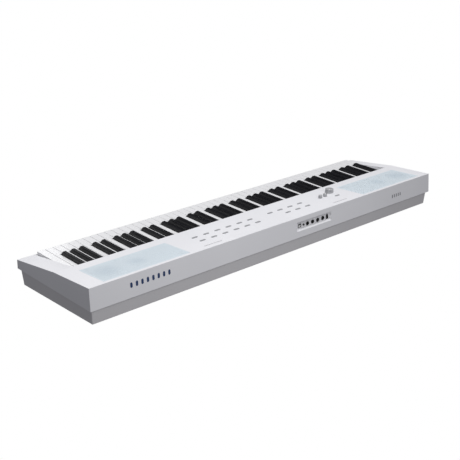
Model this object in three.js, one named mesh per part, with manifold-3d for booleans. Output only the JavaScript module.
// Slab digital piano, 88 keys, built as the real instrument is: two case halves, key bed,
// hinged keys, control panel, speakers behind two grilles, rear sockets and rubber feet.
// Millimetres. X runs along the keyboard from bass (-X) to treble (+X), Y from the player
// (-Y) to the rear (+Y), Z up from the surface under the feet.
import * as THREE from 'three';
import { mergeVertices } from 'three/addons/utils/BufferGeometryUtils.js';
import Module from 'manifold-3d';

const wasm = await Module();
wasm.setup();

// ---- Driving dimensions ----------------------------------------------------------------

// Case
const CASE_LENGTH = 1320;
const CASE_DEPTH = 332.6;
const CASE_HEIGHT = 108.5;
const WALL = 3;
const REAR_LEAN = 4;
const END_LEAN = 1.1;
const SEAM_HEIGHT = 48.4;
const SEAM_RISE = 7;
const FRONT_LIP_HEIGHT = 79.9;
const BEND_Y = 11;
const BEND_HEIGHT = 101;
const FOOT_HEIGHT = 8;
const SEAM_TONGUE = 4;
const SEAM_INSET = 5.5;
const LOWER_LEAN = 3.5;

// Running and seating clearances
const SEAT_GAP = 0.3;
const SIDE_GAP = 1;

// Keyboard
const KEY_PITCH = 23.6;
const KEYBOARD_CENTRE_X = -8;
const NATURALS = 52;
const KEY_FRONT_GAP = 11.5;
const WHITE_TOP = 84.5;
const WHITE_DEPTH = 18;
const REST_TILT = 2;
const NOTCH_GAP = 2.2;
const BLACK_RISE = 10.5;
const BLACK_BASE_WIDTH = 11.5;
const BLACK_TOP_WIDTH = 9.4;
const BLACK_LENGTH = 104;
const BLACK_FRONT_RAKE = 7;
const LEVER_DEPTH = 11;
const LEVER_DROP = 1.2;
const WHITE_PIVOT_Y = 44;
const WHITE_PIVOT_Z = 76;
const BLACK_PIVOT_Y = 27;
const BLACK_PIVOT_Z = 64;
const SPINE_WIDTH = 10;
const SPINE_HEIGHT = 8;
const SPINE_GAP = 0.8;
const LEG_WIDTH = 8;
const FIRST_WHOLE_OCTAVE = 1;
const LAST_WHOLE_OCTAVE = 7;
const SINGLE_KEY_OCTAVE = 4;

// Panel nose over the keys
const NOSE_Y = 4.5;
const NOSE_HEIGHT = 96.6;
const NOSE_THICKNESS = 2.4;

// Speaker grilles and drivers
const GRILLE_LENGTH = 272;
const GRILLE_FRONT_Y = 45;
const GRILLE_REAR_Y = 152.4;
const GRILLE_THICKNESS = 1.5;
const GRILLE_TREBLE_X = 473;
const GRILLE_BASS_X = -481;
const WOOFER_DIAMETER = 88;
const WOOFER_OFFSET = 90;
const WOOFER_DEPTH = 42;
const TWEETER_DIAMETER = 62;
const TWEETER_OFFSET = 4;
const TWEETER_DEPTH = 28;
const FLANGE_THICKNESS = 3;
const CONE_RIM = 5;

// Buttons and knobs
const BUTTON_LENGTH = 19.4;
const BUTTON_WIDTH = 7;
const BUTTON_PROUD = 0.9;
const BUTTON_PITCH = 40.8;
const BUTTON_WEB = 2;
const BUTTON_SKIRT = 2.4;
const FRONT_ROW_Y = 72.5;
const REAR_ROW_Y = 105.4;
const TREBLE_GROUP_X = 255;
const TREBLE_GROUP_COUNT = 6;
const BASS_GROUP_X = -29;
const BASS_GROUP_COUNT = 4;
const POWER_BUTTON_X = -285;
const POWER_BUTTON_Y = 102;
const VOLUME_X = -292;
const VOLUME_Y = 63.5;
const VOLUME_DIAMETER = 26;
const VOLUME_HEIGHT = 12;
const SMALL_KNOB_DIAMETER = 12;
const SMALL_KNOB_HEIGHT = 9;
const SMALL_KNOB_PLACES = [[-254, 81], [-232, 82]];
const SHAFT_DIAMETER = 6;

// Music rest slots
const SLOT_INNER_X = 221;
const SLOT_LENGTH = 62;
const SLOT_WIDTH = 2.6;
const SLOT_Y = 143;

// Rear connector recess
const RECESS_LENGTH = 143;
const RECESS_CENTRE_X = -118.5;
const RECESS_BOTTOM = 71;
const RECESS_TOP = 94;
const RECESS_DEPTH = 7;
const RECESS_CHAMFER = 3.4;
const JACK_HEIGHT = 79.2;
const JACK_FIRST_X = -96.8;
const JACK_PITCH = 21.5;
const JACK_COUNT = 4;
const JACK_OUTER = 11;
const JACK_BORE = 7;
const JACK_BODY = 15;
const JACK_BODY_DEPTH = 16;
const MINI_JACK_X = -80.8;
const MINI_JACK_OUTER = 6;
const MINI_JACK_BORE = 3.6;
const USB_X = -64.4;
const USB_WIDTH = 12;
const USB_HEIGHT = 11;
const USB_DEPTH = 17;
const USB_SHELL = 1;
const USB_TONGUE = 3;
const SWITCH_X = -180.6;
const SWITCH_WIDTH = 9;
const SWITCH_HEIGHT = 13;
const SWITCH_DEPTH = 7;
const SWITCH_PROUD = 2;
const SWITCH_TILT = 1.6;

// Key bed, boards and posts
const BED_FLOOR = 40;
const BED_THICKNESS = 3;
const BED_END_GAP = 5;
const RAIL_THICKNESS = 4;
const FRONT_RAIL_DEPTH = 32;
const FRONT_RAIL_TOP = 56;
const FELT_THICKNESS = 3;
const BOARD_THICKNESS = 1.6;
const CONTACT_BOARD_TOP = 58.6;
const CONTACT_BOARD_Y = -50;
const CONTACT_BOARD_DEPTH = 56;
const CONTACT_STRIP_HEIGHT = 5;
const CONTACT_STRIP_DEPTH = 20;
const PANEL_BOARD_TOP = 96;
const PANEL_BOARD_DEPTH = 70;
const MAIN_BOARD_HEIGHT = 26;
const MAIN_BOARD_LENGTH = 240;
const MAIN_BOARD_DEPTH = 34;
const POST_DIAMETER = 9;
const RIB_THICKNESS = 3;
const RIB_PITCH = 240;
const RIB_COUNT = 5;
const FOOT_DIAMETER = 30;
const FOOT_INSET_X = 95;
const FOOT_INSET_Y = 42;

// ---- Values worked out from the driving dimensions -------------------------------------

const HALF_LENGTH = CASE_LENGTH / 2;
const HALF_DEPTH = CASE_DEPTH / 2;
const KEYBOARD_LENGTH = NATURALS * KEY_PITCH;
const KEYWAY_HALF = KEYBOARD_LENGTH / 2 + SIDE_GAP;
const KEY_FRONT_Y = -HALF_DEPTH + KEY_FRONT_GAP;
const LEVER_TOP = WHITE_TOP - LEVER_DROP;
const LEVER_FRONT_Y = NOSE_Y - SIDE_GAP;
const BLACK_FRONT_Y = LEVER_FRONT_Y - BLACK_LENGTH;
const NOTCH_Y = BLACK_FRONT_Y - NOTCH_GAP;
const BLACK_SLOT_HALF = BLACK_BASE_WIDTH / 2 + SIDE_GAP;
const REAR_TOP_Y = HALF_DEPTH - REAR_LEAN;
const CASE_FLOOR = FOOT_HEIGHT + WALL;
const LEAN_PER_MM = REAR_LEAN / (CASE_HEIGHT - SEAM_HEIGHT);
const RECESS_BACK_Y = HALF_DEPTH - LEAN_PER_MM * (RECESS_TOP - SEAM_HEIGHT) - RECESS_DEPTH;
const SHARP_DEGREES = [1, 2, 4, 5, 6];
const DEGREE_NAMES = ['c', 'd', 'e', 'f', 'g', 'a', 'b'];
const SHARP_NAMES = { 1: 'c_sharp', 2: 'd_sharp', 4: 'f_sharp', 5: 'g_sharp', 6: 'a_sharp' };

// ---- Materials -------------------------------------------------------------------------

function finish(color, roughness, metalness = 0) {
  return { color, roughness, metalness };
}

const WHITE_CASE = finish(0xececf1, 0.5);
const LOWER_CASE = finish(0xdcdce0, 0.6);
const WHITE_KEY = finish(0xf5f5f6, 0.25);
const BLACK_KEY = finish(0x1d1d22, 0.4);
const GRILLE_CLOTH = finish(0xc8d5dd, 0.8);
const GREY_BUTTON = finish(0xb2b3b8, 0.5);
const KNOB_GREY = finish(0xc9cacf, 0.4);
const DARK_PLASTIC = finish(0x1a1a1c, 0.5);
const STEEL = finish(0xb8bcc0, 0.35, 1);
const BOARD_GREEN = finish(0x1f5a3a, 0.5);
const FELT_RED = finish(0x8c2f2f, 0.95);
const RUBBER_GREY = finish(0x5a5a5e, 0.85);
const RUBBER_BLACK = finish(0x202022, 0.9);
const BED_PLASTIC = finish(0x3a3b40, 0.6);

// ---- Solid helpers ---------------------------------------------------------------------

// A closed geometry as a solid that can be joined and cut.
function solidOf(geometry) {
  geometry.deleteAttribute('normal');
  geometry.deleteAttribute('uv');
  const merged = mergeVertices(geometry, 1e-4);
  return new wasm.Manifold(new wasm.Mesh({
    numProp: 3,
    vertProperties: new Float32Array(merged.attributes.position.array),
    triVerts: new Uint32Array(merged.index.array),
  }));
}

// A box between two values on each axis.
function block(x0, x1, y0, y1, z0, z1) {
  const geometry = new THREE.BoxGeometry(x1 - x0, y1 - y0, z1 - z0);
  geometry.translate((x0 + x1) / 2, (y0 + y1) / 2, (z0 + z1) / 2);
  return solidOf(geometry);
}

// A shape drawn in plan, from z0 up to z1.
function plate(shape, z0, z1) {
  const settings = { depth: z1 - z0, bevelEnabled: false, curveSegments: 2 };
  const geometry = new THREE.ExtrudeGeometry(shape, settings);
  geometry.translate(0, 0, z0);
  return solidOf(geometry);
}

// A section drawn in the YZ plane, from x0 to x1.
function alongX(points, x0, x1) {
  const shape = new THREE.Shape(points.map(([y, z]) => new THREE.Vector2(y, z)));
  const geometry = new THREE.ExtrudeGeometry(shape, { depth: x1 - x0, bevelEnabled: false });
  geometry.applyMatrix4(new THREE.Matrix4().set(0, 0, 1, x0, 1, 0, 0, 0, 0, 1, 0, 0, 0, 0, 0, 1));
  return solidOf(geometry);
}

// A section drawn in the XZ plane, from y0 to y1.
function alongY(points, y0, y1) {
  const shape = new THREE.Shape(points.map(([x, z]) => new THREE.Vector2(x, z)));
  const geometry = new THREE.ExtrudeGeometry(shape, { depth: y1 - y0, bevelEnabled: false });
  geometry.applyMatrix4(new THREE.Matrix4().set(1, 0, 0, 0, 0, 0, -1, y1, 0, 1, 0, 0, 0, 0, 0, 1));
  return solidOf(geometry);
}

// A turned piece: points are [radius, height], standing on the axis through x, y.
function turned(points, x, y, segments) {
  const profile = points.map(([radius, height]) => new THREE.Vector2(radius, height));
  const geometry = new THREE.LatheGeometry(profile, segments);
  geometry.rotateX(Math.PI / 2);
  geometry.translate(x, y, 0);
  return solidOf(geometry);
}

// A round rod along Z.
function rodZ(diameter, x, y, z0, z1, segments = 24) {
  const radius = diameter / 2;
  return turned([[0, z0], [radius, z0], [radius, z1], [0, z1]], x, y, segments);
}

// A round rod along Y.
function rodY(diameter, x, z, y0, y1, segments = 12) {
  const geometry = new THREE.CylinderGeometry(diameter / 2, diameter / 2, y1 - y0, segments);
  geometry.translate(x, (y0 + y1) / 2, z);
  return solidOf(geometry);
}

function joined(solids) {
  return solids.reduce((whole, solid) => whole.add(solid));
}

function without(solid, cuts) {
  return cuts.reduce((rest, cut) => rest.subtract(cut), solid);
}

// A rectangle in plan with round corners.
function roundedRectangle(x0, x1, y0, y1, radius) {
  const shape = new THREE.Shape();
  shape.moveTo(x0 + radius, y0);
  shape.lineTo(x1 - radius, y0);
  shape.absarc(x1 - radius, y0 + radius, radius, -Math.PI / 2, 0, false);
  shape.lineTo(x1, y1 - radius);
  shape.absarc(x1 - radius, y1 - radius, radius, 0, Math.PI / 2, false);
  shape.lineTo(x0 + radius, y1);
  shape.absarc(x0 + radius, y1 - radius, radius, Math.PI / 2, Math.PI, false);
  shape.lineTo(x0, y0 + radius);
  shape.absarc(x0 + radius, y0 + radius, radius, Math.PI, Math.PI * 1.5, false);
  return shape;
}

const piano = new THREE.Group();

// Adds a solid to the piano as one named mesh.
function addPart(name, solid, look) {
  const mesh = solid.getMesh();
  const geometry = new THREE.BufferGeometry();
  geometry.setAttribute('position', new THREE.Float32BufferAttribute(mesh.vertProperties, 3));
  geometry.setIndex(Array.from(mesh.triVerts));
  geometry.computeVertexNormals();
  const part = new THREE.Mesh(geometry, new THREE.MeshStandardMaterial(look));
  part.name = name;
  piano.add(part);
}

// ---- Upper case: panel, rear wall, end cheeks and front lip in one moulding -------------

// Height of the case top at a given Y: steep beside the keys, then nearly level to the rear.
function topAt(y) {
  if (y < BEND_Y) {
    return BEND_HEIGHT + (BEND_HEIGHT - FRONT_LIP_HEIGHT) / (BEND_Y + HALF_DEPTH) * (y - BEND_Y);
  }
  return BEND_HEIGHT + (CASE_HEIGHT - BEND_HEIGHT) / (REAR_TOP_Y - BEND_Y) * (y - BEND_Y);
}

function underPanel(y) {
  return topAt(y) - WALL - SEAT_GAP;
}

// The layer of the panel between two depths below its sloping face.
function panelLayer(upper, lower) {
  return alongX([
    [BEND_Y, BEND_HEIGHT - lower], [REAR_TOP_Y, CASE_HEIGHT - lower],
    [REAR_TOP_Y, CASE_HEIGHT - upper], [BEND_Y, BEND_HEIGHT - upper],
  ], -HALF_LENGTH, HALF_LENGTH);
}

// The outer skin moved inwards by an inset, and its lower edge taken down to a height.
function upperBlock(inset, bottom) {
  const lean = LEAN_PER_MM * (SEAM_HEIGHT - bottom);
  const endLean = END_LEAN / (CASE_HEIGHT - SEAM_HEIGHT) * (SEAM_HEIGHT - bottom);
  const top = CASE_HEIGHT - inset;
  const section = alongX([
    [HALF_DEPTH - inset + lean, bottom],
    [REAR_TOP_Y - inset + LEAN_PER_MM * inset, top],
    [BEND_Y, BEND_HEIGHT - inset],
    [-HALF_DEPTH + inset, FRONT_LIP_HEIGHT - inset],
    [-HALF_DEPTH + inset, bottom + SEAM_RISE],
  ], -HALF_LENGTH - REAR_LEAN, HALF_LENGTH + REAR_LEAN);
  const topHalf = HALF_LENGTH - END_LEAN - inset;
  const bottomHalf = HALF_LENGTH - inset + endLean;
  const ends = alongY([
    [-bottomHalf, bottom], [bottomHalf, bottom], [topHalf, top], [-topHalf, top],
  ], -HALF_DEPTH, HALF_DEPTH + REAR_LEAN);
  return section.intersect(ends);
}

// The bevelled front edge of the panel that overhangs the keys.
function panelNose() {
  return alongX([
    [NOSE_Y, NOSE_HEIGHT],
    [BEND_Y, BEND_HEIGHT],
    [BEND_Y + WALL, BEND_HEIGHT],
    [BEND_Y + WALL, BEND_HEIGHT - NOSE_THICKNESS],
    [BEND_Y, BEND_HEIGHT - NOSE_THICKNESS],
    [NOSE_Y, NOSE_HEIGHT - NOSE_THICKNESS],
  ], KEYBOARD_CENTRE_X - KEYWAY_HALF - WALL, KEYBOARD_CENTRE_X + KEYWAY_HALF + WALL);
}

function keyway() {
  return block(
    KEYBOARD_CENTRE_X - KEYWAY_HALF, KEYBOARD_CENTRE_X + KEYWAY_HALF,
    -HALF_DEPTH + 2 * WALL, BEND_Y, SEAM_HEIGHT - WALL, CASE_HEIGHT + WALL,
  );
}

// The wall that closes each end cheek beside the keys.
function cheekWall(side) {
  const bottom = WHITE_TOP - WHITE_DEPTH - KEY_FRONT_GAP;
  const wall = alongX([
    [-HALF_DEPTH + WALL / 2, bottom],
    [BEND_Y + WALL, bottom],
    [BEND_Y + WALL, BEND_HEIGHT - WALL / 2],
    [BEND_Y, BEND_HEIGHT - WALL / 2],
    [-HALF_DEPTH + WALL / 2, FRONT_LIP_HEIGHT - WALL / 2],
  ], KEYWAY_HALF, KEYWAY_HALF + WALL);
  return (side > 0 ? wall : wall.mirror([1, 0, 0])).translate([KEYBOARD_CENTRE_X, 0, 0]);
}

// A box let into the rear wall, open to the rear.
function connectorBox() {
  return block(
    RECESS_CENTRE_X - RECESS_LENGTH / 2 - WALL, RECESS_CENTRE_X + RECESS_LENGTH / 2 + WALL,
    RECESS_BACK_Y - WALL, REAR_TOP_Y, RECESS_BOTTOM - WALL, RECESS_TOP + WALL,
  );
}

// The hollow of the recess, with a chamfer along its lower edge.
function connectorHollow() {
  const wallY = HALF_DEPTH - LEAN_PER_MM * (RECESS_BOTTOM - SEAM_HEIGHT);
  const floorY = wallY - RECESS_CHAMFER;
  const outerY = HALF_DEPTH + WALL;
  return alongX([
    [RECESS_BACK_Y, RECESS_BOTTOM],
    [floorY, RECESS_BOTTOM],
    [outerY, RECESS_BOTTOM - (outerY - floorY)],
    [outerY, RECESS_TOP],
    [RECESS_BACK_Y, RECESS_TOP],
  ], RECESS_CENTRE_X - RECESS_LENGTH / 2, RECESS_CENTRE_X + RECESS_LENGTH / 2);
}

function jackX(index) {
  return JACK_FIRST_X - JACK_PITCH * index;
}

// Holes through the back of the recess for every socket and the switch.
function connectorHoles() {
  const y0 = RECESS_BACK_Y - 2 * WALL;
  const y1 = RECESS_BACK_Y + WALL;
  const holes = [rodY(MINI_JACK_OUTER + 2 * SEAT_GAP, MINI_JACK_X, JACK_HEIGHT, y0, y1)];
  for (let index = 0; index < JACK_COUNT; index += 1) {
    holes.push(rodY(JACK_OUTER + 2 * SEAT_GAP, jackX(index), JACK_HEIGHT, y0, y1));
  }
  const usbHalf = USB_WIDTH / 2 + SEAT_GAP;
  const usbRise = USB_HEIGHT / 2 + SEAT_GAP;
  holes.push(block(
    USB_X - usbHalf, USB_X + usbHalf, y0, y1, JACK_HEIGHT - usbRise, JACK_HEIGHT + usbRise,
  ));
  const switchHalf = SWITCH_WIDTH / 2 + SEAT_GAP;
  const switchRise = SWITCH_HEIGHT / 2 + 3 * SEAT_GAP;
  holes.push(block(
    SWITCH_X - switchHalf, SWITCH_X + switchHalf, y0, y1,
    JACK_HEIGHT - switchRise, JACK_HEIGHT + switchRise,
  ));
  return holes;
}

function grilleShape(centreX, inset) {
  return roundedRectangle(
    centreX - GRILLE_LENGTH / 2 + inset, centreX + GRILLE_LENGTH / 2 - inset,
    GRILLE_FRONT_Y + inset, GRILLE_REAR_Y - inset, 3,
  );
}

function grilleColumn(centreX, inset) {
  return plate(grilleShape(centreX, inset), BEND_HEIGHT - 2 * WALL, CASE_HEIGHT + WALL);
}

// The driver centres run outwards from the middle of each grille.
function driverX(centreX, offset) {
  return centreX + Math.sign(centreX) * offset;
}

const GRILLE_CENTRE_Y = (GRILLE_FRONT_Y + GRILLE_REAR_Y) / 2;
const GRILLES = [['treble', GRILLE_TREBLE_X], ['bass', GRILLE_BASS_X]];
const DRIVERS = [
  ['woofer', WOOFER_DIAMETER, WOOFER_OFFSET, WOOFER_DEPTH],
  ['tweeter', TWEETER_DIAMETER, -TWEETER_OFFSET, TWEETER_DEPTH],
];

// A shallow seat for each grille, with a round opening over each driver.
function grilleCuts() {
  const cuts = [];
  for (const [, centreX] of GRILLES) {
    cuts.push(grilleColumn(centreX, 0).intersect(panelLayer(-WALL, GRILLE_THICKNESS + SEAT_GAP)));
    for (const [, diameter, offset] of DRIVERS) {
      const x = driverX(centreX, offset);
      const opening = diameter - 2 * CONE_RIM;
      cuts.push(rodZ(opening, x, GRILLE_CENTRE_Y, BEND_HEIGHT - 2 * WALL, CASE_HEIGHT + WALL, 20));
    }
  }
  return cuts;
}

function buttonShape(x, y, grow) {
  const halfLength = BUTTON_LENGTH / 2 + grow;
  const halfWidth = BUTTON_WIDTH / 2 + grow;
  return roundedRectangle(x - halfLength, x + halfLength, y - halfWidth, y + halfWidth, halfWidth * 0.9);
}

// Each group is a row of button centres.
function buttonRow(firstX, y, count) {
  return Array.from({ length: count }, (unused, index) => [firstX - BUTTON_PITCH * index, y]);
}

const TREBLE_FRONT_ROW = buttonRow(TREBLE_GROUP_X, FRONT_ROW_Y, TREBLE_GROUP_COUNT);
const TREBLE_REAR_ROW = buttonRow(TREBLE_GROUP_X, REAR_ROW_Y, TREBLE_GROUP_COUNT);
const BASS_FRONT_ROW = buttonRow(BASS_GROUP_X, FRONT_ROW_Y, BASS_GROUP_COUNT);
const BASS_REAR_ROW = buttonRow(BASS_GROUP_X - BUTTON_PITCH, REAR_ROW_Y, BASS_GROUP_COUNT - 1);
const POWER_BUTTON = [POWER_BUTTON_X, POWER_BUTTON_Y];
const ALL_BUTTONS = [
  ...TREBLE_FRONT_ROW, ...TREBLE_REAR_ROW, ...BASS_FRONT_ROW, ...BASS_REAR_ROW, POWER_BUTTON,
];
const KNOB_PLACES = [[VOLUME_X, VOLUME_Y], ...SMALL_KNOB_PLACES];

function panelHoles() {
  const z0 = BEND_HEIGHT - 2 * WALL;
  const z1 = CASE_HEIGHT + WALL;
  const holes = ALL_BUTTONS.map(([x, y]) => plate(buttonShape(x, y, SEAT_GAP), z0, z1));
  for (const [x, y] of KNOB_PLACES) {
    holes.push(rodZ(SHAFT_DIAMETER + 2 * SEAT_GAP, x, y, z0, z1, 16));
  }
  const slot = block(
    SLOT_INNER_X, SLOT_INNER_X + SLOT_LENGTH, SLOT_Y - SLOT_WIDTH / 2, SLOT_Y + SLOT_WIDTH / 2, z0, z1,
  );
  return [...holes, slot, slot.mirror([1, 0, 0])];
}

function upperCase() {
  const shell = upperBlock(0, SEAM_HEIGHT).subtract(upperBlock(WALL, SEAM_HEIGHT - 2 * WALL));
  const opened = without(shell, [keyway()]);
  const body = joined([opened, panelNose(), cheekWall(1), cheekWall(-1), connectorBox()]);
  return without(body, [connectorHollow(), ...connectorHoles(), ...grilleCuts(), ...panelHoles()]);
}

// ---- Lower case: tray with ribs under the key bed and posts up to the panel --------------

// The tray's outer skin moved inwards by an inset, from one height up to the seam tongue.
function trayBlock(inset, bottom) {
  const top = SEAM_HEIGHT + SEAM_TONGUE;
  const frontTop = top + SEAM_RISE;
  const grow = (z) => LOWER_LEAN * (z - FOOT_HEIGHT) / (top - FOOT_HEIGHT);
  const halfDepth = HALF_DEPTH - SEAM_INSET - LOWER_LEAN - inset;
  const halfLength = HALF_LENGTH - SEAM_INSET - LOWER_LEAN - inset;
  const section = [
    [-halfDepth - grow(bottom), bottom], [halfDepth + grow(bottom), bottom],
    [halfDepth + grow(top), top], [-halfDepth - grow(frontTop), frontTop],
  ];
  const ends = [
    [-halfLength - grow(bottom), bottom], [halfLength + grow(bottom), bottom],
    [halfLength + grow(frontTop), frontTop], [-halfLength - grow(frontTop), frontTop],
  ];
  return alongX(section, -HALF_LENGTH, HALF_LENGTH).intersect(alongY(ends, -HALF_DEPTH, HALF_DEPTH));
}

function trayPosts() {
  const rearY = REAR_TOP_Y - 2 * WALL - POST_DIAMETER / 2;
  const cheekX = HALF_LENGTH - SEAM_INSET - 3 * WALL - POST_DIAMETER / 2;
  const frontY = -HALF_DEPTH + SEAM_INSET + 3 * WALL + POST_DIAMETER / 2;
  const frontTop = underPanel(frontY - POST_DIAMETER);
  const rearTop = underPanel(rearY - POST_DIAMETER);
  const middleX = (GRILLE_TREBLE_X - GRILLE_LENGTH / 2 + SLOT_INNER_X + SLOT_LENGTH) / 2;
  const places = [
    [cheekX, rearY, rearTop], [middleX, rearY, rearTop], [cheekX, frontY, frontTop],
  ];
  return places.flatMap(([x, y, top]) => [1, -1].map((side) => (
    rodZ(POST_DIAMETER, side * x, y, CASE_FLOOR - WALL / 2, top, 10)
  )));
}

function bedRibs() {
  const front = KEY_FRONT_Y + FRONT_RAIL_DEPTH / 2;
  return Array.from({ length: RIB_COUNT }, (unused, index) => {
    const x = (index - (RIB_COUNT - 1) / 2) * RIB_PITCH;
    return block(
      x - RIB_THICKNESS / 2, x + RIB_THICKNESS / 2, front, WHITE_PIVOT_Y,
      CASE_FLOOR - WALL / 2, BED_FLOOR - SEAT_GAP,
    );
  });
}

function lowerCase() {
  const tray = trayBlock(0, FOOT_HEIGHT).subtract(trayBlock(WALL, CASE_FLOOR));
  const rim = block(
    -HALF_LENGTH, HALF_LENGTH, -HALF_DEPTH, HALF_DEPTH, SEAM_HEIGHT + SEAM_TONGUE, CASE_HEIGHT,
  );
  return joined([tray.subtract(rim), ...trayPosts(), ...bedRibs()]);
}

// ---- Key bed -----------------------------------------------------------------------------

// A block as long as the keyboard, less a gap at each end.
function acrossKeys(gap, y0, y1, z0, z1) {
  const half = KEYBOARD_LENGTH / 2 - gap;
  return block(KEYBOARD_CENTRE_X - half, KEYBOARD_CENTRE_X + half, y0, y1, z0, z1);
}

function bedWall(y, top) {
  return acrossKeys(BED_END_GAP, y - RAIL_THICKNESS / 2, y + RAIL_THICKNESS / 2, BED_FLOOR, top);
}

function keyBed() {
  const front = KEY_FRONT_Y + RAIL_THICKNESS;
  const floor = acrossKeys(
    BED_END_GAP, front, WHITE_PIVOT_Y + SPINE_WIDTH, BED_FLOOR, BED_FLOOR + BED_THICKNESS,
  );
  const railTop = acrossKeys(
    BED_END_GAP, front, front + FRONT_RAIL_DEPTH, FRONT_RAIL_TOP - BED_THICKNESS, FRONT_RAIL_TOP,
  );
  const boardRail = CONTACT_BOARD_TOP - BOARD_THICKNESS - SEAT_GAP;
  const boardHalf = CONTACT_BOARD_DEPTH / 2 - RAIL_THICKNESS;
  return joined([
    floor,
    railTop,
    bedWall(front + RAIL_THICKNESS / 2, FRONT_RAIL_TOP),
    bedWall(CONTACT_BOARD_Y - boardHalf, boardRail),
    bedWall(CONTACT_BOARD_Y + boardHalf, boardRail),
    bedWall(BLACK_PIVOT_Y, BLACK_PIVOT_Z - SPINE_HEIGHT / 2 - SPINE_GAP),
    bedWall(WHITE_PIVOT_Y, WHITE_PIVOT_Z - SPINE_HEIGHT / 2 - SPINE_GAP),
  ]);
}

function keyFelt() {
  const front = KEY_FRONT_Y + 2 * RAIL_THICKNESS;
  const rear = front + FRONT_RAIL_DEPTH - 2 * RAIL_THICKNESS;
  const bottom = FRONT_RAIL_TOP + SEAT_GAP;
  return acrossKeys(BED_END_GAP, front, rear, bottom, bottom + FELT_THICKNESS);
}

function contactBoard() {
  const half = CONTACT_BOARD_DEPTH / 2;
  return acrossKeys(
    2 * BED_END_GAP, CONTACT_BOARD_Y - half, CONTACT_BOARD_Y + half,
    CONTACT_BOARD_TOP - BOARD_THICKNESS, CONTACT_BOARD_TOP,
  );
}

function contactStrip() {
  const bottom = CONTACT_BOARD_TOP + SEAT_GAP;
  const half = CONTACT_STRIP_DEPTH / 2;
  return acrossKeys(
    2 * BED_END_GAP, CONTACT_BOARD_Y - half, CONTACT_BOARD_Y + half,
    bottom, bottom + CONTACT_STRIP_HEIGHT,
  );
}

// ---- Keys ----------------------------------------------------------------------------------

// Left edge of an octave's C. Octave 0 starts below the keyboard, which begins on its A.
function octaveLeft(octave) {
  return KEYBOARD_CENTRE_X - KEYBOARD_LENGTH / 2 + (octave * 7 - 5) * KEY_PITCH;
}

// Centre of the black key on the boundary between two white keys, spaced so that the white
// tails of each group are equal.
function blackCentre(octave, boundary) {
  if (boundary < 3) {
    return octaveLeft(octave) + 3 * KEY_PITCH * (2 * boundary - 0.5) / 5;
  }
  return octaveLeft(octave) + 3 * KEY_PITCH + 4 * KEY_PITCH * (2 * (boundary - 3) - 0.5) / 7;
}

function hasBlack(octave, boundary) {
  const belowKeyboard = octave < FIRST_WHOLE_OCTAVE && boundary < 6;
  const aboveKeyboard = octave > LAST_WHOLE_OCTAVE;
  return SHARP_DEGREES.includes(boundary) && !belowKeyboard && !aboveKeyboard;
}

// The narrow part of a white key between its black neighbours, as [left, right].
function whiteTail(octave, degree) {
  const left = octaveLeft(octave) + degree * KEY_PITCH;
  const right = left + KEY_PITCH;
  const leftBlack = hasBlack(octave, degree);
  const rightBlack = hasBlack(octave, degree + 1);
  return [
    leftBlack ? blackCentre(octave, degree) + BLACK_SLOT_HALF : left + SIDE_GAP / 2,
    rightBlack ? blackCentre(octave, degree + 1) - BLACK_SLOT_HALF : right - SIDE_GAP / 2,
  ];
}

function whiteSpine(x0, x1) {
  return block(
    x0, x1, WHITE_PIVOT_Y - SPINE_WIDTH / 2, WHITE_PIVOT_Y + SPINE_WIDTH / 2,
    WHITE_PIVOT_Z - SPINE_HEIGHT / 2, LEVER_TOP,
  );
}

function blackSpine(x0, x1) {
  return block(
    x0, x1, BLACK_PIVOT_Y - SPINE_WIDTH / 2, BLACK_PIVOT_Y + SPINE_WIDTH / 2,
    BLACK_PIVOT_Z - SPINE_HEIGHT / 2, BLACK_PIVOT_Z + SPINE_HEIGHT / 2,
  );
}

function whiteKey(octave, degree) {
  const left = octaveLeft(octave) + degree * KEY_PITCH + SIDE_GAP / 2;
  const right = left + KEY_PITCH - SIDE_GAP;
  const [tailLeft, tailRight] = whiteTail(octave, degree);
  const bottom = WHITE_TOP - WHITE_DEPTH;
  return joined([
    block(left, right, KEY_FRONT_Y, NOTCH_Y, bottom, WHITE_TOP),
    block(tailLeft, tailRight, NOTCH_Y - WALL, LEVER_FRONT_Y, bottom, WHITE_TOP),
    block(tailLeft, tailRight, LEVER_FRONT_Y - WALL, WHITE_PIVOT_Y, LEVER_TOP - LEVER_DEPTH, LEVER_TOP),
    whiteSpine(tailLeft, tailRight),
  ]);
}

function blackKey(octave, boundary) {
  const x = blackCentre(octave, boundary);
  const top = WHITE_TOP + BLACK_RISE;
  const bottom = LEVER_TOP - LEVER_DEPTH;
  const half = BLACK_BASE_WIDTH / 2;
  const topHalf = BLACK_TOP_WIDTH / 2;
  const head = alongX([
    [BLACK_FRONT_Y, bottom], [LEVER_FRONT_Y, bottom], [LEVER_FRONT_Y, top],
    [BLACK_FRONT_Y + BLACK_FRONT_RAKE + 1.5, top], [BLACK_FRONT_Y + BLACK_FRONT_RAKE, top - 1.5],
    [BLACK_FRONT_Y, WHITE_TOP],
  ], x - half, x + half);
  const sides = alongY([
    [x - half, bottom], [x + half, bottom], [x + half, WHITE_TOP],
    [x + topHalf, top], [x - topHalf, top], [x - half, WHITE_TOP],
  ], BLACK_FRONT_Y, LEVER_FRONT_Y);
  const legHalf = LEG_WIDTH / 2;
  return joined([
    head.intersect(sides),
    block(x - legHalf, x + legHalf, LEVER_FRONT_Y - WALL, BLACK_PIVOT_Y, bottom, LEVER_TOP - SIDE_GAP),
    block(
      x - legHalf, x + legHalf, BLACK_PIVOT_Y - SPINE_WIDTH / 2, BLACK_PIVOT_Y + SPINE_WIDTH / 2,
      BLACK_PIVOT_Z, LEVER_TOP - SIDE_GAP,
    ),
    blackSpine(x - legHalf, x + legHalf),
  ]);
}

// Several white keys moulded on one spine.
function whiteComb(octave, degrees) {
  const first = whiteTail(octave, degrees[0])[0];
  const last = whiteTail(octave, degrees[degrees.length - 1])[1];
  return joined([...degrees.map((degree) => whiteKey(octave, degree)), whiteSpine(first, last)]);
}

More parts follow.
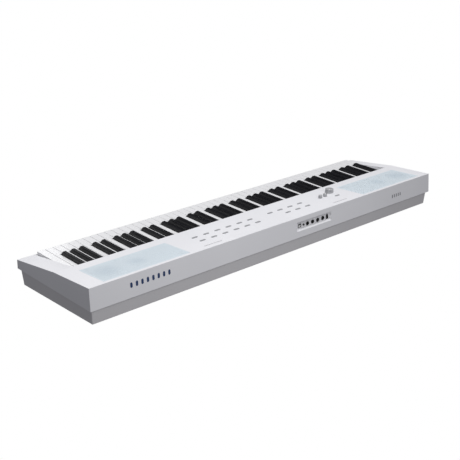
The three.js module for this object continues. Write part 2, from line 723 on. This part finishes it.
// Several black keys moulded on one lower spine, which passes under the white levers.
function blackComb(octave) {
  const first = blackCentre(octave, SHARP_DEGREES[0]) - LEG_WIDTH / 2;
  const last = blackCentre(octave, SHARP_DEGREES[SHARP_DEGREES.length - 1]) + LEG_WIDTH / 2;
  const keys = SHARP_DEGREES.map((boundary) => blackKey(octave, boundary));
  return joined([...keys, blackSpine(first, last)]);
}

// At rest every key stands a little high in front, turned about the white pivot line.
function atRest(solid) {
  const pivoted = solid.translate([0, -WHITE_PIVOT_Y, -WHITE_PIVOT_Z]);
  return pivoted.rotate([-REST_TILT, 0, 0]).translate([0, WHITE_PIVOT_Y, WHITE_PIVOT_Z]);
}

// The top octave's set also carries the last C.
function addOctave(octave) {
  const degrees = DEGREE_NAMES.map((unused, degree) => degree);
  if (octave === LAST_WHOLE_OCTAVE) {
    degrees.push(DEGREE_NAMES.length);
  }
  if (octave !== SINGLE_KEY_OCTAVE) {
    addPart(`white_keys_${octave}`, atRest(whiteComb(octave, degrees)), WHITE_KEY);
    addPart(`black_keys_${octave}`, atRest(blackComb(octave)), BLACK_KEY);
    return;
  }
  for (const degree of degrees) {
    addPart(`key_${DEGREE_NAMES[degree]}${octave}`, atRest(whiteKey(octave, degree)), WHITE_KEY);
  }
  for (const boundary of SHARP_DEGREES) {
    addPart(`key_${SHARP_NAMES[boundary]}${octave}`, atRest(blackKey(octave, boundary)), BLACK_KEY);
  }
}

function addKeyboard() {
  const lowest = FIRST_WHOLE_OCTAVE - 1;
  addPart('white_keys_0', atRest(whiteComb(lowest, [5, 6])), WHITE_KEY);
  addPart('black_keys_0', atRest(blackKey(lowest, 6)), BLACK_KEY);
  for (let octave = FIRST_WHOLE_OCTAVE; octave <= LAST_WHOLE_OCTAVE; octave += 1) {
    addOctave(octave);
  }
}

// ---- Speakers ------------------------------------------------------------------------------

function speakerGrille(centreX) {
  return grilleColumn(centreX, SEAT_GAP).intersect(panelLayer(0, GRILLE_THICKNESS));
}

// A driver hung under the panel: flange, open cone, basket and magnet.
function driver(x, diameter, depth) {
  const radius = diameter / 2;
  const top = underPanel(GRILLE_CENTRE_Y - radius);
  const coneRadius = radius - CONE_RIM;
  return turned([
    [0, top - depth],
    [radius * 0.55, top - depth],
    [radius * 0.55, top - depth * 0.6],
    [radius * 0.72, top - depth * 0.5],
    [coneRadius + WALL / 2, top - FLANGE_THICKNESS],
    [radius, top - FLANGE_THICKNESS],
    [radius, top],
    [coneRadius, top],
    [radius * 0.3, top - depth * 0.42],
    [0, top - depth * 0.36],
  ], x, GRILLE_CENTRE_Y, 16);
}

function addSpeakers() {
  for (const [side, centreX] of GRILLES) {
    addPart(`speaker_grille_${side}`, speakerGrille(centreX), GRILLE_CLOTH);
    for (const [kind, diameter, offset, depth] of DRIVERS) {
      addPart(`${kind}_${side}`, driver(driverX(centreX, offset), diameter, depth), DARK_PLASTIC);
    }
  }
}

// ---- Buttons and knobs ---------------------------------------------------------------------

// Caps that come up through the panel, joined under it by a web.
function buttonSet(places) {
  const rowY = places[0][1];
  const halfWidth = BUTTON_WIDTH / 2 + BUTTON_SKIRT;
  const webTop = underPanel(rowY - halfWidth);
  const capTop = topAt(rowY) + BUTTON_PROUD;
  const caps = places.map(([x, y]) => plate(buttonShape(x, y, 0), webTop - BUTTON_WEB, capTop));
  const xs = places.map(([x]) => x);
  const half = BUTTON_LENGTH / 2 + BUTTON_SKIRT;
  const web = block(
    Math.min(...xs) - half, Math.max(...xs) + half,
    rowY - halfWidth, rowY + halfWidth, webTop - BUTTON_WEB, webTop,
  );
  return joined([web, ...caps]);
}

function addButtons() {
  addPart('buttons_treble_front', buttonSet(TREBLE_FRONT_ROW), GREY_BUTTON);
  addPart('buttons_treble_rear', buttonSet(TREBLE_REAR_ROW), GREY_BUTTON);
  BASS_FRONT_ROW.forEach((place, index) => {
    addPart(`button_bass_front_${index + 1}`, buttonSet([place]), GREY_BUTTON);
  });
  BASS_REAR_ROW.forEach((place, index) => {
    addPart(`button_bass_rear_${index + 1}`, buttonSet([place]), GREY_BUTTON);
  });
  addPart('button_power', buttonSet([POWER_BUTTON]), GREY_BUTTON);
}

// A knob on a shaft that reaches down to the panel board.
function knob(x, y, diameter, height, segments) {
  const radius = diameter / 2;
  const shaft = SHAFT_DIAMETER / 2;
  const bottom = topAt(y + radius) + SEAT_GAP;
  const top = bottom + height;
  return turned([
    [0, PANEL_BOARD_TOP + SEAT_GAP],
    [shaft, PANEL_BOARD_TOP + SEAT_GAP],
    [shaft, bottom],
    [radius, bottom],
    [radius * 0.94, top - 1],
    [radius * 0.94 - 1, top],
    [0, top],
  ], x, y, segments);
}

function addKnobs() {
  addPart('volume_knob', knob(VOLUME_X, VOLUME_Y, VOLUME_DIAMETER, VOLUME_HEIGHT, 24), KNOB_GREY);
  SMALL_KNOB_PLACES.forEach(([x, y], index) => {
    addPart(`small_knob_${index + 1}`, knob(x, y, SMALL_KNOB_DIAMETER, SMALL_KNOB_HEIGHT, 16), KNOB_GREY);
  });
}

// ---- Boards, sockets and switch ------------------------------------------------------------

// The board under the buttons and knobs.
function panelBoard() {
  const xs = [...ALL_BUTTONS, ...KNOB_PLACES].map(([x]) => x);
  const margin = BUTTON_LENGTH;
  const y0 = VOLUME_Y - VOLUME_DIAMETER / 2;
  return block(
    Math.min(...xs) - margin, Math.max(...xs) + margin, y0, y0 + PANEL_BOARD_DEPTH,
    PANEL_BOARD_TOP - BOARD_THICKNESS, PANEL_BOARD_TOP,
  );
}

function mainBoard() {
  const y0 = WHITE_PIVOT_Y + 2 * SPINE_WIDTH;
  return block(
    -MAIN_BOARD_LENGTH / 2, MAIN_BOARD_LENGTH / 2, y0, y0 + MAIN_BOARD_DEPTH,
    MAIN_BOARD_HEIGHT, MAIN_BOARD_HEIGHT + BOARD_THICKNESS,
  );
}

// One phone socket: a body behind the recess and a bored collar through its back wall.
function phoneSocket(x) {
  const back = RECESS_BACK_Y - WALL - SEAT_GAP;
  const half = JACK_BODY / 2;
  const body = block(
    x - half, x + half, back - JACK_BODY_DEPTH, back, JACK_HEIGHT - half, JACK_HEIGHT + half,
  );
  return [
    body.add(rodY(JACK_OUTER, x, JACK_HEIGHT, back - WALL, RECESS_BACK_Y + SIDE_GAP)),
    rodY(JACK_BORE, x, JACK_HEIGHT, back - JACK_BODY_DEPTH + WALL, RECESS_BACK_Y + 2 * WALL),
  ];
}

function miniSocket() {
  const back = RECESS_BACK_Y - WALL - SEAT_GAP;
  const x = MINI_JACK_X;
  const half = MINI_JACK_OUTER / 2 + SIDE_GAP;
  const body = block(
    x - half, x + half, back - JACK_BODY_DEPTH, back, JACK_HEIGHT - half, JACK_HEIGHT + half,
  );
  return [
    body.add(rodY(MINI_JACK_OUTER, x, JACK_HEIGHT, back - WALL, RECESS_BACK_Y + SIDE_GAP)),
    rodY(MINI_JACK_BORE, x, JACK_HEIGHT, back - JACK_BODY_DEPTH + WALL, RECESS_BACK_Y + 2 * WALL),
  ];
}

// The jack board stands behind the sockets and carries them all.
function jackBoard() {
  const back = RECESS_BACK_Y - WALL - SEAT_GAP - JACK_BODY_DEPTH;
  const sockets = [miniSocket()];
  for (let index = 0; index < JACK_COUNT; index += 1) {
    sockets.push(phoneSocket(jackX(index)));
  }
  const board = block(
    jackX(JACK_COUNT - 1) - JACK_BODY / 2, MINI_JACK_X + JACK_BODY / 2,
    back - BOARD_THICKNESS, back + WALL / 2,
    JACK_HEIGHT - JACK_BODY / 2 - WALL, JACK_HEIGHT + JACK_BODY / 2,
  );
  const solid = joined([board, ...sockets.map(([body]) => body)]);
  return without(solid, sockets.map(([, bore]) => bore));
}

// A square shell with a contact tongue, open to the rear.
function usbSocket() {
  const x0 = USB_X - USB_WIDTH / 2;
  const x1 = USB_X + USB_WIDTH / 2;
  const z0 = JACK_HEIGHT - USB_HEIGHT / 2;
  const z1 = JACK_HEIGHT + USB_HEIGHT / 2;
  const mouth = RECESS_BACK_Y + SIDE_GAP;
  const back = mouth - USB_DEPTH;
  const shell = block(x0, x1, back, mouth, z0, z1).subtract(block(
    x0 + USB_SHELL, x1 - USB_SHELL, back + WALL, mouth + WALL, z0 + USB_SHELL, z1 - USB_SHELL,
  ));
  const tongue = block(
    USB_X - USB_WIDTH / 4, USB_X + USB_WIDTH / 4, back + WALL / 2, mouth - WALL,
    JACK_HEIGHT - USB_TONGUE / 2, JACK_HEIGHT + USB_TONGUE / 2,
  );
  return shell.add(tongue);
}

// A rocker that stands a little proud of the recess and tilts about its middle.
function powerSwitch() {
  const face = RECESS_BACK_Y + SWITCH_PROUD;
  const half = SWITCH_HEIGHT / 2;
  return alongX([
    [face - SWITCH_DEPTH, JACK_HEIGHT - half + SWITCH_TILT],
    [face, JACK_HEIGHT - half],
    [face - SIDE_GAP, JACK_HEIGHT],
    [face - SWITCH_TILT, JACK_HEIGHT + half],
    [face - SWITCH_DEPTH, JACK_HEIGHT + half - SWITCH_TILT],
  ], SWITCH_X - SWITCH_WIDTH / 2, SWITCH_X + SWITCH_WIDTH / 2);
}

// ---- Feet ------------------------------------------------------------------------------------

function foot(side, end) {
  const x = side * (HALF_LENGTH - FOOT_INSET_X);
  const y = end * (HALF_DEPTH - FOOT_INSET_Y);
  const radius = FOOT_DIAMETER / 2;
  const top = FOOT_HEIGHT - SEAT_GAP;
  return turned([[0, 0], [radius - 1, 0], [radius, 1], [radius, top], [0, top]], x, y, 16);
}

// ---- Assembly --------------------------------------------------------------------------------

addPart('upper_case', upperCase(), WHITE_CASE);
addPart('lower_case', lowerCase(), LOWER_CASE);
addPart('key_bed', keyBed(), BED_PLASTIC);
addPart('key_felt', keyFelt(), FELT_RED);
addPart('contact_board', contactBoard(), BOARD_GREEN);
addPart('contact_strip', contactStrip(), RUBBER_GREY);
addKeyboard();
addSpeakers();
addButtons();
addKnobs();
addPart('panel_board', panelBoard(), BOARD_GREEN);
addPart('main_board', mainBoard(), BOARD_GREEN);
addPart('jack_board', jackBoard(), DARK_PLASTIC);
addPart('usb_socket', usbSocket(), STEEL);
addPart('power_switch', powerSwitch(), DARK_PLASTIC);
for (const [side, sideName] of [[1, 'treble'], [-1, 'bass']]) {
  for (const [end, endName] of [[1, 'rear'], [-1, 'front']]) {
    addPart(`foot_${sideName}_${endName}`, foot(side, end), RUBBER_BLACK);
  }
}

export default piano;
